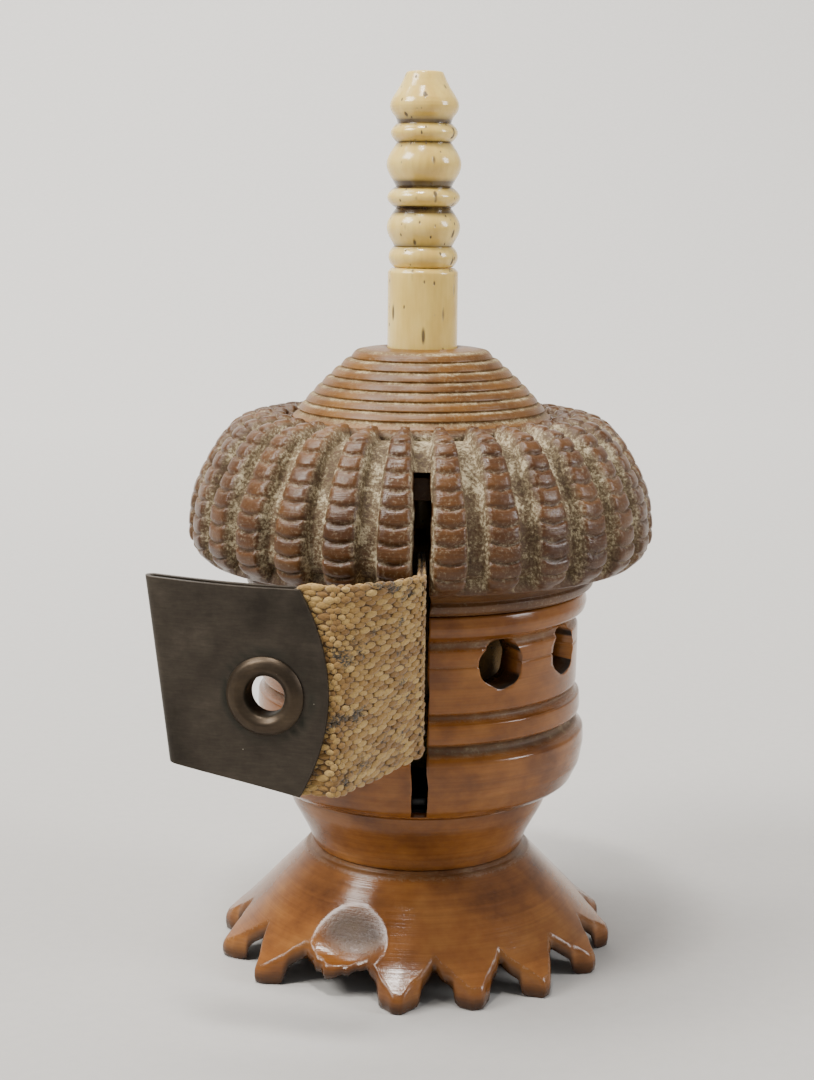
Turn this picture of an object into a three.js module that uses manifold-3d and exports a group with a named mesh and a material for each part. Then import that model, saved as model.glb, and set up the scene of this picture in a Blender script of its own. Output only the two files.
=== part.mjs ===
// A sewing tape measure: a turned nut case on a toothed foot, with a bone spindle that winds
// the woven tape in through a saw kerf. Millimetres, +Z up, standing on z = 0.
// Radii are measured from the spindle axis, and angles from the front (-Y) towards +X.

import * as THREE from 'three';
import { mergeVertices } from 'three/addons/utils/BufferGeometryUtils.js';
import Module from 'manifold-3d';

// Fits
const gap = 0.3;              // between pieces that are seated on or in each other
const runningGap = 0.26;      // round the spindle in its two bearings
const sheetGap = 0.1;         // between the tape and the metal folded over it

// Tape
const tapeWidth = 14.7;
const tapeThickness = 0.4;
const coilRadius = 8.0;       // outside of the wound tape
const tapeFloor = 5.45;       // underside of the tape above the barrel's lower joint
const tapeOverlap = 4.3;      // how far the tape stands up inside the skirt

// Spindle
const coreRadius = 2.3;       // the slit core that the tape is wound on
const shankRadius = 2.69;     // the plain shank that turns in the dome
const shankAboveDome = 6.0;
const slitWidth = 0.8;
const collarRadius = 4.2;     // stops the spindle being pulled up through the dome
const collarHeight = 1.8;
const collarDrop = 1.8;       // below the roof of the dome's hollow
const pivotRadius = 1.2;
const pivotLength = 2.4;
const tenonRadius = 1.1;      // joins the finial to the shank
const tenonLength = 4.0;
const finialHeight = 14.3;

// Barrel
const coilRoom = 1.6;         // between the wound tape and the bore
const barrelWall = 2.8;
const spigotStep = 0.8;       // how much the upper spigot is turned down
const spigotHeight = 8.0;
const kerfWidth = 1.2;
const kerfAboveShoulder = 10.8;
const holeCount = 10;
const holeRadius = 1.7;
const firstHoleAngle = 28;    // degrees from the kerf
const holeAboveTapeFloor = 6.5;

// Skirt
const skirtOverhang = 5.57;   // beyond the barrel's wall
const ribCount = 28;
const ribDepth = 0.7;
const skirtRise = 13.3;       // from its lower joint to its crest

// Dome
const flangeHeight = 1.7;     // held between the barrel's spigot and the skirt's ledge
const domeShoulder = 1.9;     // the flange's step in to the dome
const domeStepCount = 7;
const domeRise = 4.9;         // from the crest of the skirt to the top of the dome
const domeTopRadius = 5.2;
const domeRoof = 4.5;

// Cup and foot
const cupHeight = 4.6;
const cupSpigot = 1.6;        // stands up inside the barrel
const footHeight = 8.1;
const footNeckRadius = 8.8;
const cupNeckRadius = 8.0;
const footRimRadius = 15.9;
const footRimHeight = 1.2;
const footWall = 2.1;
const footLand = 1.0;         // flat underside of the teeth
const footShell = 1.5;        // wall of the cone, measured level
const toothCount = 16;
const toothDepth = 2.5;
const toothTipWidth = 0.8;
const firstToothAngle = -5.9; // degrees from the front
const footSpigotRadius = 3.0;
const footSpigotHeight = 2.5;
const chipAngle = -25;        // the old chip in the rim, degrees from the front
const chipRadius = 2.3;

// Tab and eyelet
const tabSheet = 0.35;
const tabLength = 11.2;       // along its upper edge, from the inner corner to the fold
const tabHeightDrop = 1.8;    // how much the lower edge rises towards the fold
const tabSlant = 1.7;         // how much the fold leans outwards
const tabBulge = 2.0;         // how far the inner edge bows towards the tape
const tabYaw = 14;            // degrees that the fold is turned back from straight left
const tabReach = 4.7;         // in front of the skirt
const tabOffset = 6.1;        // to the left of the kerf, where the tape enters the tab
const eyeletRadius = 2.75;
const eyeletHole = 1.35;
const eyeletWall = 0.3;
const eyeletRoll = 0.55;      // how far the rolled flange stands off the sheet
const eyeletInset = 2.4;      // from the inner corner line to the eyelet's centre
const eyeletDrop = 0.4;       // how far the eyelet sits below the tape's middle

// Sizes that follow from the ones above
const barrelBore = coilRadius + coilRoom;
const barrelRadius = barrelBore + barrelWall;
const barrelHeight = tapeFloor + tapeWidth - tapeOverlap;
const spigotRadius = barrelRadius - spigotStep;
const skirtRadius = barrelRadius + skirtOverhang;
const jointRadius = barrelRadius - 2.0;
const domeRadius = spigotRadius - domeShoulder;
const spindleBore = shankRadius + runningGap;

const cupBottom = footHeight + gap;
const cupTop = cupBottom + cupHeight;
const cupFloor = cupTop + cupSpigot;
const barrelBottom = cupTop + gap;
const shoulder = barrelBottom + barrelHeight;
const spigotTop = shoulder + spigotHeight;
const skirtBottom = shoulder + gap;
const flangeBottom = spigotTop + gap;
const flangeTop = flangeBottom + flangeHeight;
const skirtTop = skirtBottom + skirtRise;
const domeTop = skirtTop + domeRise;
const tapeBottom = barrelBottom + tapeFloor;
const tapeTop = tapeBottom + tapeWidth;
const shankTop = domeTop + shankAboveDome;

const wasm = await Module();
wasm.setup();

// Booleans

function solidOf(geometry) {
  const plain = geometry.clone();
  plain.deleteAttribute('normal');
  plain.deleteAttribute('uv');
  const merged = mergeVertices(plain, 1e-4);
  const corners = merged.index.array;
  const triangles = [];
  for (let i = 0; i < corners.length; i += 3) {
    const [a, b, c] = corners.slice(i, i + 3);
    if (a !== b && b !== c && c !== a) triangles.push(a, b, c);
  }
  return new wasm.Manifold(new wasm.Mesh({
    numProp: 3,
    vertProperties: new Float32Array(merged.attributes.position.array),
    triVerts: new Uint32Array(triangles),
  }));
}

function geometryOf(solid) {
  const mesh = solid.getMesh();
  const geometry = new THREE.BufferGeometry();
  const count = mesh.vertProperties.length / mesh.numProp;
  const positions = new Float32Array(count * 3);
  for (let i = 0; i < count; i++) {
    for (let k = 0; k < 3; k++) positions[3 * i + k] = mesh.vertProperties[mesh.numProp * i + k];
  }
  geometry.setAttribute('position', new THREE.BufferAttribute(positions, 3));
  geometry.setIndex([...mesh.triVerts]);
  return geometry;
}

function cut(geometry, cutters) {
  let solid = solidOf(geometry);
  for (const cutter of cutters) solid = solid.subtract(solidOf(cutter));
  return geometryOf(solid);
}

// Shapes

// Turns an outline of [radius, height] points, given anticlockwise, round the spindle axis.
function turned(outline, segments = 48) {
  const points = outline.map(([radius, height]) => new THREE.Vector2(radius, height));
  return new THREE.LatheGeometry(points, segments).rotateX(Math.PI / 2);
}

// A ring is turned from an outline that closes on itself.
function ring(outline, segments = 48) {
  return turned([...outline, outline[0]], segments);
}

function block(x0, x1, y0, y1, z0, z1) {
  const box = new THREE.BoxGeometry(x1 - x0, y1 - y0, z1 - z0);
  return box.translate((x0 + x1) / 2, (y0 + y1) / 2, (z0 + z1) / 2);
}

// Turns a shape made at the front round to an angle in degrees from the front.
function turnTo(geometry, angle) {
  return geometry.rotateZ(THREE.MathUtils.degToRad(angle));
}

function kerfCutter(bottom, top) {
  const reach = skirtRadius + 2;
  return block(-kerfWidth / 2, kerfWidth / 2, -reach, 0, bottom, top);
}

const kerfTop = shoulder + kerfAboveShoulder;
const kerfStart = barrelBottom - 1;

// Foot: a cone, hollow underneath, with V notches filed into its rim and a spigot on top.

function footGeometry() {
  const landInner = footRimRadius - 0.4 - footLand;
  const hollowTop = footHeight - footWall;
  const run = (footRimRadius - footNeckRadius) / (footHeight - footRimHeight);
  const hollowTopRadius = footNeckRadius + footWall * run - footShell;
  const cone = turned([
    [0, hollowTop],
    [hollowTopRadius, hollowTop],
    [landInner - 0.2, footRimHeight],
    [landInner, 0],
    [footRimRadius - 0.4, 0],
    [footRimRadius, footRimHeight],
    [footNeckRadius, footHeight],
    [footSpigotRadius, footHeight],
    [footSpigotRadius, footHeight + footSpigotHeight],
    [0, footHeight + footSpigotHeight],
  ], 64);
  return cut(cone, [...toothNotches(), chip()]);
}

function toothNotches() {
  const outer = footRimRadius + 1;
  const apex = footRimRadius - toothDepth;
  const pitch = 2 * Math.PI / toothCount;
  const openAngle = pitch - toothTipWidth / footRimRadius;
  const halfOpening = outer * Math.tan(openAngle / 2) * (outer - apex) / (footRimRadius - apex);
  const notch = new THREE.Shape([
    new THREE.Vector2(0, -apex),
    new THREE.Vector2(-halfOpening, -outer),
    new THREE.Vector2(halfOpening, -outer),
  ]);
  const notches = [];
  for (let i = 0; i < toothCount; i++) {
    const angle = firstToothAngle + (i + 0.5) * 360 / toothCount;
    const prism = new THREE.ExtrudeGeometry(notch, { depth: footHeight, bevelEnabled: false });
    notches.push(turnTo(prism.translate(0, 0, -1), angle));
  }
  return notches;
}

function chip() {
  const scoop = new THREE.SphereGeometry(chipRadius, 16, 12).scale(1.25, 1, 0.35);
  const radius = footRimRadius - 1.4 * chipRadius;
  const slope = (footHeight - footRimHeight) / (footRimRadius - footNeckRadius);
  scoop.rotateX(Math.atan(slope));
  scoop.translate(0, -radius, footRimHeight + (footRimRadius - radius) * slope + 0.4);
  return turnTo(scoop, chipAngle);
}

// Cup: carries the barrel, and holds the foot's spigot below and the spindle's pivot above.

function cupGeometry() {
  const socketRadius = footSpigotRadius + gap;
  const socketTop = footHeight + footSpigotHeight + gap;
  const pivotHole = pivotRadius + runningGap;
  return turned([
    [0, socketTop],
    [socketRadius, socketTop],
    [socketRadius, cupBottom],
    [cupNeckRadius, cupBottom],
    [cupNeckRadius + 0.9, cupBottom + 1.2],
    [jointRadius - 0.6, cupTop - 1.6],
    [jointRadius, cupTop],
    [barrelBore - gap, cupTop],
    [barrelBore - gap, cupFloor],
    [pivotHole, cupFloor],
    [pivotHole, socketTop + 1.2],
    [0, socketTop + 1.2],
  ]);
}

// Barrel: a tube with turned mouldings, the kerf sawn up from its lower end, and a ring of holes.

function barrelGeometry() {
  const wall = barrelRadius;
  const base = barrelBottom;
  const outline = [
    [barrelBore, base],
    [jointRadius, base],
    [wall - 0.3, base + 0.9],
    [wall + 0.35, base + 2.3],
    [wall + 0.65, base + 3.9],
    [wall + 0.6, base + 5.0],
    [wall - 0.35, base + 5.5],
    [wall - 0.35, base + 5.9],
    [wall + 0.3, base + 6.3],
    [wall + 0.3, base + 7.7],
    [wall - 0.3, base + 8.1],
    [wall, base + 8.5],
    [wall, shoulder - 2.7],
    [wall - 0.3, shoulder - 2.3],
    [wall + 0.55, shoulder - 1.4],
    [wall + 0.72, shoulder - 0.8],
    [wall + 0.5, shoulder],
    [spigotRadius, shoulder],
    [spigotRadius, spigotTop],
    [barrelBore, spigotTop],
  ];
  return cut(ring(outline, 40), [kerfCutter(kerfStart, spigotTop + 1), ...barrelHoles()]);
}

function barrelHoles() {
  const height = tapeBottom + holeAboveTapeFloor;
  const spacing = (360 - 2 * firstHoleAngle) / (holeCount - 1);
  const holes = [];
  for (let i = 0; i < holeCount; i++) {
    const drill = new THREE.CylinderGeometry(holeRadius, holeRadius, barrelWall + 4, 16);
    drill.translate(0, -(barrelBore + barrelWall / 2), 0).translate(0, 0, height);
    const angle = firstHoleAngle + i * spacing;
    holes.push(turnTo(drill, angle));
  }
  return holes;
}

// Skirt: a drooping collar, fluted into ribs all round, and split by the kerf at the front.

function skirtGeometry() {
  const rim = skirtRadius;
  const top = skirtTop;
  const bore = spigotRadius + gap;
  const ledge = flangeTop + gap;
  const throat = domeRadius + gap;
  const outline = [
    [bore, skirtBottom],
    [barrelRadius + 0.9, skirtBottom],
    [rim - 2.2, skirtBottom + 1.8],
    [rim - 0.9, skirtBottom + 2.5],
    [rim - 0.1, skirtBottom + 3.6],
    [rim, skirtBottom + 4.6],
    [rim - 0.35, skirtBottom + 6.8],
    [rim - 1.0, skirtBottom + 8.8],
    [rim - 2.0, skirtBottom + 10.6],
    [rim - 3.6, skirtBottom + 12.4],
    [rim - 5.3, top - 0.4],
    [domeRadius + 1.2, top],
    [throat, top - 0.5],
    [throat, ledge],
    [bore, ledge],
  ];
  const segmentsPerRib = 3;
  const collar = ring(outline, ribCount * segmentsPerRib);
  flute(collar, bore + 0.05, skirtBottom + 1.2);
  return cut(collar, [kerfCutter(kerfStart, kerfTop)]);
}

// Sinks the grooves between the ribs, with one groove centred on the front.
function flute(geometry, innerRadius, lowest) {
  const position = geometry.attributes.position;
  const pitch = 2 * Math.PI / ribCount;
  for (let i = 0; i < position.count; i++) {
    const x = position.getX(i);
    const y = position.getY(i);
    const radius = Math.hypot(x, y);
    if (radius < innerRadius || position.getZ(i) < lowest) continue;
    const turns = Math.atan2(x, -y) / pitch;
    const offset = Math.abs(turns - Math.round(turns));
    if (offset > 0.2) continue;
    const scale = (radius - ribDepth) / radius;
    position.setXY(i, x * scale, y * scale);
  }
}

// Dome: stepped on top, bored for the spindle, and hollow underneath.

function domeGeometry() {
  const hollowRadius = domeRadius - 1.3;
  const hollowTop = domeTop - domeRoof;
  const outline = [
    [spindleBore, hollowTop],
    [hollowRadius, hollowTop - 1.5],
    [hollowRadius, flangeBottom],
    [spigotRadius, flangeBottom],
    [spigotRadius, flangeTop],
    [domeRadius, flangeTop],
    [domeRadius, skirtTop],
  ];
  const riser = (domeTop - skirtTop - 0.4) / domeStepCount;
  for (let i = 0; i < domeStepCount; i++) {
    const turn = (i + 1) / domeStepCount;
    const height = skirtTop + i * riser;
    const radius = domeRadius - (domeRadius - domeTopRadius) * (0.75 * turn + 0.25 * turn * turn);
    outline.push([radius + 0.45, height + 0.1], [radius + 0.4, height + riser]);
  }
  outline.push([spindleBore, domeTop]);
  return ring(outline, 36);
}

// Arbor: the lower part of the spindle, from the shank in the dome to the pivot in the cup.

function arborGeometry() {
  const coreBottom = cupFloor + 0.6;
  const pivotBottom = coreBottom - pivotLength;
  const collarTop = domeTop - domeRoof - collarDrop;
  const socketRadius = tenonRadius + gap;
  const socketBottom = shankTop - tenonLength - gap;
  const outline = [
    [0, pivotBottom],
    [pivotRadius, pivotBottom],
    [pivotRadius, coreBottom],
    [coreRadius, coreBottom],
    [coreRadius, collarTop - collarHeight],
    [collarRadius, collarTop - collarHeight],
    [collarRadius, collarTop],
    [shankRadius, collarTop],
    [shankRadius, shankTop - 0.3],
    [shankRadius - 0.3, shankTop],
    [socketRadius, shankTop],
    [socketRadius, socketBottom],
    [0, socketBottom],
  ];
  const slit = block(-slitWidth / 2, slitWidth / 2, -5, 5, tapeBottom - 0.4, tapeTop + 0.4);
  return cut(turned(outline, 32), [slit]);
}

// Finial: the turned bone handle, a row of beads, rings and grooves on a short tenon.

function finialGeometry() {
  const base = shankTop + gap;
  const tip = base + finialHeight;
  const beads = [
    [2.25, 0],
    [2.55, 0.5],
    [2.6, 0.9],
    [2.28, 1.3],
    [2.28, 1.6],
    [2.65, 2.3],
    [2.76, 3.1],
    [2.6, 3.8],
    [2.18, 4.4],
    [2.7, 4.9],
    [2.75, 5.3],
    [2.19, 5.9],
    [2.19, 6.3],
    [2.62, 6.9],
    [2.79, 7.9],
    [2.6, 8.8],
    [2.11, 9.5],
    [2.5, 10.0],
    [2.45, 10.5],
    [2.08, 10.8],
    [2.58, 12.0],
    [2.3, 13.0],
    [1.5, 14.1],
  ];
  const stretch = (finialHeight - 0.2) / 14.1;
  const outline = [
    [0, shankTop - tenonLength],
    [tenonRadius, shankTop - tenonLength],
    [tenonRadius, base],
  ];
  for (const [radius, height] of beads) outline.push([radius, base + height * stretch]);
  outline.push([1.24, tip], [0, tip]);
  return turned(outline, 20);
}

// Tape: the wound coil with its inner end through the slit, and the free end out to the tab.

function coilGeometry() {
  const inner = coreRadius + gap;
  const coil = ring([
    [inner, tapeBottom],
    [coilRadius, tapeBottom],
    [coilRadius, tapeTop],
    [inner, tapeTop],
  ]);
  const half = tapeThickness / 2;
  const tongue = block(-half, half, -inner - 0.5, inner + 0.5, tapeBottom, tapeTop);
  return geometryOf(solidOf(coil).add(solidOf(tongue)));
}

// The plane of the tab: one axis along it from its inner edge to its fold, one to the back.
const tabAngle = THREE.MathUtils.degToRad(tabYaw);
const tabAlong = new THREE.Vector3(-Math.cos(tabAngle), Math.sin(tabAngle), 0);
const tabBack = new THREE.Vector3(Math.sin(tabAngle), Math.cos(tabAngle), 0);
const tabEntry = new THREE.Vector3(-tabOffset, -(skirtRadius + tabReach), 0);

// One edge of the free tape, seen from above: straight out through the kerf until bendAt,
// then round in a curve to the tab, and straight on inside it.
function tapeEdge(bendAt, leaving, stations) {
  const start = new THREE.Vector3(0, -coilRadius - gap - tapeThickness, 0);
  const bend = new THREE.Vector3(0, -bendAt, 0);
  const turn = new THREE.CubicBezierCurve3(
    bend,
    bend.clone().add(leaving),
    tabEntry.clone().addScaledVector(tabAlong, -1.2),
    tabEntry,
  );
  const inTab = tabBulge + tabLength - tabHeightDrop - tabSheet - 2 * sheetGap;
  const path = new THREE.CurvePath();
  path.add(new THREE.LineCurve3(start, bend));
  path.add(turn);
  path.add(new THREE.LineCurve3(tabEntry, tabEntry.clone().addScaledVector(tabAlong, inTab)));
  const points = [];
  path.curves.forEach((curve, part) => {
    const steps = stations[part];
    for (let i = part === 0 ? 0 : 1; i <= steps; i++) points.push(curve.getPoint(i / steps));
  });
  return points;
}

// A closed strip between a lower and an upper edge, with its thickness split either side.
function stripGeometry(lower, upper, thickness) {
  const positions = [];
  const sideOf = (points, i) => {
    const before = points[Math.max(i - 1, 0)];
    const after = points[Math.min(i + 1, points.length - 1)];
    const along = after.clone().sub(before).setZ(0).normalize();
    return new THREE.Vector3(along.y, -along.x, 0).multiplyScalar(thickness / 2);
  };
  const corners = lower.map((low, i) => {
    const high = upper[i];
    const lowSide = sideOf(lower, i);
    const highSide = sideOf(upper, i);
    return [
      low.clone().sub(lowSide),
      low.clone().add(lowSide),
      high.clone().add(highSide),
      high.clone().sub(highSide),
    ];
  });
  const face = (...points) => {
    for (const point of points) positions.push(point.x, point.y, point.z);
  };
  for (let i = 0; i + 1 < corners.length; i++) {
    for (let k = 0; k < 4; k++) {
      const next = (k + 1) % 4;
      const [a, b] = [corners[i][k], corners[i][next]];
      const [c, d] = [corners[i + 1][next], corners[i + 1][k]];
      face(a, c, b);
      face(a, d, c);
    }
  }
  const [first, last] = [corners[0], corners[corners.length - 1]];
  face(first[0], first[1], first[2]);
  face(first[0], first[2], first[3]);
  face(last[0], last[2], last[1]);
  face(last[0], last[3], last[2]);
  const geometry = new THREE.BufferGeometry();
  geometry.setAttribute('position', new THREE.Float32BufferAttribute(positions, 3));
  return mergeVertices(geometry, 1e-4);
}

function tapeEndGeometry() {
  const stations = [2, 12, 2];
  const lowLeaving = new THREE.Vector3(-2.2, -2.8, 0);
  const highLeaving = new THREE.Vector3(-0.9, -1.9, 0);
  const lower = tapeEdge(barrelRadius + 0.7, lowLeaving, stations);
  const upper = tapeEdge(skirtRadius + 0.7, highLeaving, stations);
  for (const point of lower) point.z = tapeBottom;
  for (const point of upper) point.z = tapeTop;
  const strip = stripGeometry(lower, upper, tapeThickness);
  const drill = eyeletDrill(eyeletHole + eyeletWall + gap / 2);
  return cut(strip, [placedOnTab(drill), placedOnTab(tapeTrim())]);
}

// Trims the tape's lower corner where the tab's lower edge rises.
function tapeTrim() {
  const slope = tabHeightDrop / (tabLength - tabSlant);
  const low = -tapeWidth / 2;
  const reach = tabLength + 2;
  const corner = new THREE.Shape([
    new THREE.Vector2(0, low + sheetGap),
    new THREE.Vector2(0, low - 2),
    new THREE.Vector2(reach, low - 2),
    new THREE.Vector2(reach, low + sheetGap + reach * slope),
  ]);
  const wedge = new THREE.ExtrudeGeometry(corner, { depth: 4, bevelEnabled: false });
  return wedge.translate(0, 0, -2);
}

// Tab: sheet metal folded at its outer edge and closed over the end of the tape.

function placedOnTab(geometry) {
  const basis = new THREE.Matrix4().makeBasis(tabAlong, new THREE.Vector3(0, 0, 1), tabBack);
  const middle = tabEntry.clone().addScaledVector(tabAlong, tabBulge);
  middle.z = (tapeBottom + tapeTop) / 2;
  return geometry.applyMatrix4(basis.setPosition(middle));
}

function tabGeometry() {
  const half = tapeWidth / 2;
  const thickness = tapeThickness + 2 * sheetGap + 2 * tabSheet;
  const outline = new THREE.Shape();
  outline.moveTo(0, -half);
  outline.lineTo(tabLength - tabSlant, tabHeightDrop - half);
  outline.lineTo(tabLength, half);
  outline.lineTo(0, half);
  outline.quadraticCurveTo(-2 * tabBulge, 0, 0, -half);
  const options = { depth: thickness, bevelEnabled: false, curveSegments: 12 };
  const folded = new THREE.ExtrudeGeometry(outline, options).translate(0, 0, -thickness / 2);
  const pocketHalf = tapeThickness / 2 + sheetGap;
  const pocketEnd = tabLength - tabSlant - tabSheet;
  const pocket = block(-9, pocketEnd, -half - 5, half + 5, -pocketHalf, pocketHalf);
  const drill = eyeletDrill(eyeletHole + eyeletWall + gap / 2);
  return placedOnTab(cut(folded, [pocket, drill]));
}

function eyeletDrill(radius) {
  const drill = new THREE.CylinderGeometry(radius, radius, 6, 24);
  return drill.rotateX(Math.PI / 2).translate(eyeletInset, -eyeletDrop, 0);
}

function eyeletGeometry() {
  const sheetFace = tapeThickness / 2 + sheetGap + tabSheet + sheetGap;
  const top = sheetFace + eyeletRoll;
  const tube = eyeletHole + eyeletWall;
  const backFlange = eyeletRadius - 0.5;
  const rolled = ring([
    [eyeletHole, -sheetFace - 0.1],
    [eyeletHole + 0.2, -sheetFace - 0.35],
    [backFlange, -sheetFace - 0.3],
    [backFlange, -sheetFace],
    [tube, -sheetFace],
    [tube, sheetFace],
    [eyeletRadius, sheetFace],
    [eyeletRadius - 0.15, sheetFace + 0.6 * eyeletRoll],
    [(eyeletRadius + eyeletHole) / 2 + 0.2, top],
    [eyeletHole + 0.3, top - 0.12],
    [eyeletHole, sheetFace - 0.05],
  ], 24);
  return placedOnTab(rolled.rotateX(Math.PI).translate(eyeletInset, -eyeletDrop, 0));
}

// Assembly

const nut = { color: 0x9c6234, roughness: 0.35, metalness: 0 };
const darkNut = { color: 0x6e4a30, roughness: 0.5, metalness: 0 };
const bone = { color: 0xe0cd9c, roughness: 0.3, metalness: 0 };
const cloth = { color: 0xaa8c52, roughness: 0.95, metalness: 0 };
const metal = { color: 0x4c443c, roughness: 0.4, metalness: 0.8 };

const pieces = [
  ['foot', footGeometry, nut],
  ['cup', cupGeometry, nut],
  ['barrel', barrelGeometry, nut],
  ['skirt', skirtGeometry, darkNut],
  ['dome_cap', domeGeometry, darkNut],
  ['arbor', arborGeometry, bone],
  ['finial', finialGeometry, bone],
  ['tape_coil', coilGeometry, cloth],
  ['tape_end', tapeEndGeometry, cloth],
  ['end_tab', tabGeometry, metal],
  ['eyelet', eyeletGeometry, metal],
];

const tapeMeasure = new THREE.Group();
for (const [name, makeGeometry, finish] of pieces) {
  const mesh = new THREE.Mesh(makeGeometry(), new THREE.MeshStandardMaterial(finish));
  mesh.name = name;
  tapeMeasure.add(mesh);
}

// The origin is on the table, under the middle of the whole footprint with the tab.
const footprint = new THREE.Box3().setFromObject(tapeMeasure).getCenter(new THREE.Vector3());
tapeMeasure.position.set(-footprint.x, -footprint.y, 0);

export default tapeMeasure;
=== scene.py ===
import math

import bmesh
import bpy
import numpy as np
from mathutils import Matrix, Vector


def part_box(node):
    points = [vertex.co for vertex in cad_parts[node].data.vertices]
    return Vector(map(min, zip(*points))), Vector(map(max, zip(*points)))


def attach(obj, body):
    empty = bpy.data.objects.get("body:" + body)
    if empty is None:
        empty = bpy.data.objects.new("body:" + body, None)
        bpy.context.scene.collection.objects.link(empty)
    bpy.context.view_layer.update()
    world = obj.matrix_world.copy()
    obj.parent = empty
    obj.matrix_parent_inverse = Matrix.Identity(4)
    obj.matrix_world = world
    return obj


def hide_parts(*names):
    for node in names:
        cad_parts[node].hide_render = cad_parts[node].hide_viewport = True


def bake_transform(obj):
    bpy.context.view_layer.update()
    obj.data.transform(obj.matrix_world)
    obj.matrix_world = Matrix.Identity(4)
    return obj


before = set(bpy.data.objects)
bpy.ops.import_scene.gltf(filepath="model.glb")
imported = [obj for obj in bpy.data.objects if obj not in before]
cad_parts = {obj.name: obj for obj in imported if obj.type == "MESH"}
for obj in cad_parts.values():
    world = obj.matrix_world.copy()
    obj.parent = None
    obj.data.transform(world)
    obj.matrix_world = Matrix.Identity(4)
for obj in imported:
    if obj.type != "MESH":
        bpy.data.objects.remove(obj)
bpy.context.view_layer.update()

# --------------------------------------------------------------------
# Camera: a little above the tape measure and in front of the kerf, looking slightly down.
# Everything turned is measured from the spindle's axis, which is the dome's middle.
# --------------------------------------------------------------------
mm = 0.001
dome_low, dome_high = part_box("dome_cap")
axis = Vector(((dome_low.x + dome_high.x) / 2, (dome_low.y + dome_high.y) / 2, 0))

camera_data = bpy.data.cameras.new("studio_camera")
camera_data.lens = 65
camera_data.sensor_width = 36
camera_data.clip_start = 0.01
camera_data.clip_end = 10
camera = bpy.data.objects.new("studio_camera", camera_data)
bpy.context.collection.objects.link(camera)
camera_place = Matrix.Translation(axis + Vector((-1.04, -150, 59)) * mm)
camera_pitch = Matrix.Rotation(math.radians(80), 4, "X")
camera_roll = Matrix.Rotation(math.radians(0.5), 4, "Z")
camera.matrix_world = camera_place @ camera_pitch @ camera_roll
bpy.context.scene.camera = camera


# --------------------------------------------------------------------
# Table and light: a pale sweep of card, a large soft lamp high on the left, a weaker one
# on the right, a small one overhead that puts the gleam on the foot, and one for the wall.
# --------------------------------------------------------------------
def feed(made, sockets):
    """Fills a node's inputs with plain values, or with links from other nodes."""
    for key, value in sockets.items():
        value = getattr(value, "socket", value)
        if isinstance(value, bpy.types.Node):
            value = value.outputs[0]
        if isinstance(value, bpy.types.NodeSocket):
            made.id_data.links.new(value, made.inputs[key])
        else:
            made.inputs[key].default_value = value


def node(tree, kind, sockets=None, **settings):
    """Adds a node, sets its properties and feeds its inputs."""
    made = tree.nodes.new(kind)
    for key, value in settings.items():
        setattr(made, key, value)
    feed(made, sockets or {})
    return made


class Value:
    """A number passed between nodes, so that sums and products of it read as such."""

    def __init__(self, socket):
        self.socket = socket

    def worked(self, operation, *others, clamp=False):
        inputs = dict(enumerate([self, *others]))
        made = node(self.socket.id_data, "ShaderNodeMath", inputs, operation=operation, use_clamp=clamp)
        return Value(made.outputs[0])

    def __add__(self, other):
        return self.worked("ADD", other)

    def __sub__(self, other):
        return self.worked("SUBTRACT", other)

    def __rsub__(self, other):
        made = node(self.socket.id_data, "ShaderNodeMath", {0: other, 1: self}, operation="SUBTRACT")
        return Value(made.outputs[0])

    def __mul__(self, other):
        return self.worked("MULTIPLY", other)

    def __pow__(self, other):
        return self.worked("POWER", other)

    def spread(self, low, high, curve="LINEAR"):
        """0 at low and 1 at high, straight or eased between."""
        inputs = {"Value": self, "From Min": low, "From Max": high}
        made = node(self.socket.id_data, "ShaderNodeMapRange", inputs, interpolation_type=curve)
        return Value(made.outputs["Result"])


def material(name):
    """A new material with an empty tree that ends in one glossy shader."""
    made = bpy.data.materials.new(name)
    made.use_nodes = True
    tree = made.node_tree
    tree.nodes.clear()
    shader = node(tree, "ShaderNodeBsdfPrincipled")
    node(tree, "ShaderNodeOutputMaterial", {"Surface": shader})
    return made, tree, shader


def ramp(tree, value, stops):
    """A colour ramp through (place, colour) stops."""
    made = node(tree, "ShaderNodeValToRGB", {"Fac": value})
    band = made.color_ramp
    while len(band.elements) < len(stops):
        band.elements.new(0.5)
    for element, (place, colour) in zip(band.elements, stops):
        element.position = place
        element.color = (*colour, 1)
    return made.outputs["Color"]


def noise(tree, stretch, detail=4.0, roughness=0.6):
    """Noise in the piece's own space, with its own frequency along each axis."""
    place = node(tree, "ShaderNodeTexCoord").outputs["Object"]
    mapped = node(tree, "ShaderNodeMapping", {"Vector": place, "Scale": stretch})
    made = node(tree, "ShaderNodeTexNoise", {"Vector": mapped, "Scale": 1.0,
                                             "Detail": detail, "Roughness": roughness})
    return Value(made.outputs["Fac"])


def mixed(tree, factor, a, b, blend="MIX"):
    """Mixes two colours, each a socket or three plain numbers."""
    a, b = [(*colour, 1) if isinstance(colour, tuple) else colour for colour in (a, b)]
    inputs = {"Factor": factor, "A": a, "B": b}
    return node(tree, "ShaderNodeMix", inputs, data_type="RGBA", blend_type=blend).outputs["Result"]


def add_mesh(name, vertices, faces, smooth=True):
    mesh = bpy.data.meshes.new(name)
    mesh.from_pydata([tuple(v) for v in vertices], [], faces)
    mesh.validate()
    if smooth:
        mesh.shade_smooth()
    shell = bmesh.new()
    shell.from_mesh(mesh)
    bmesh.ops.recalc_face_normals(shell, faces=shell.faces)
    shell.to_mesh(mesh)
    shell.free()
    made = bpy.data.objects.new(name, mesh)
    bpy.context.collection.objects.link(made)
    return made


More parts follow.
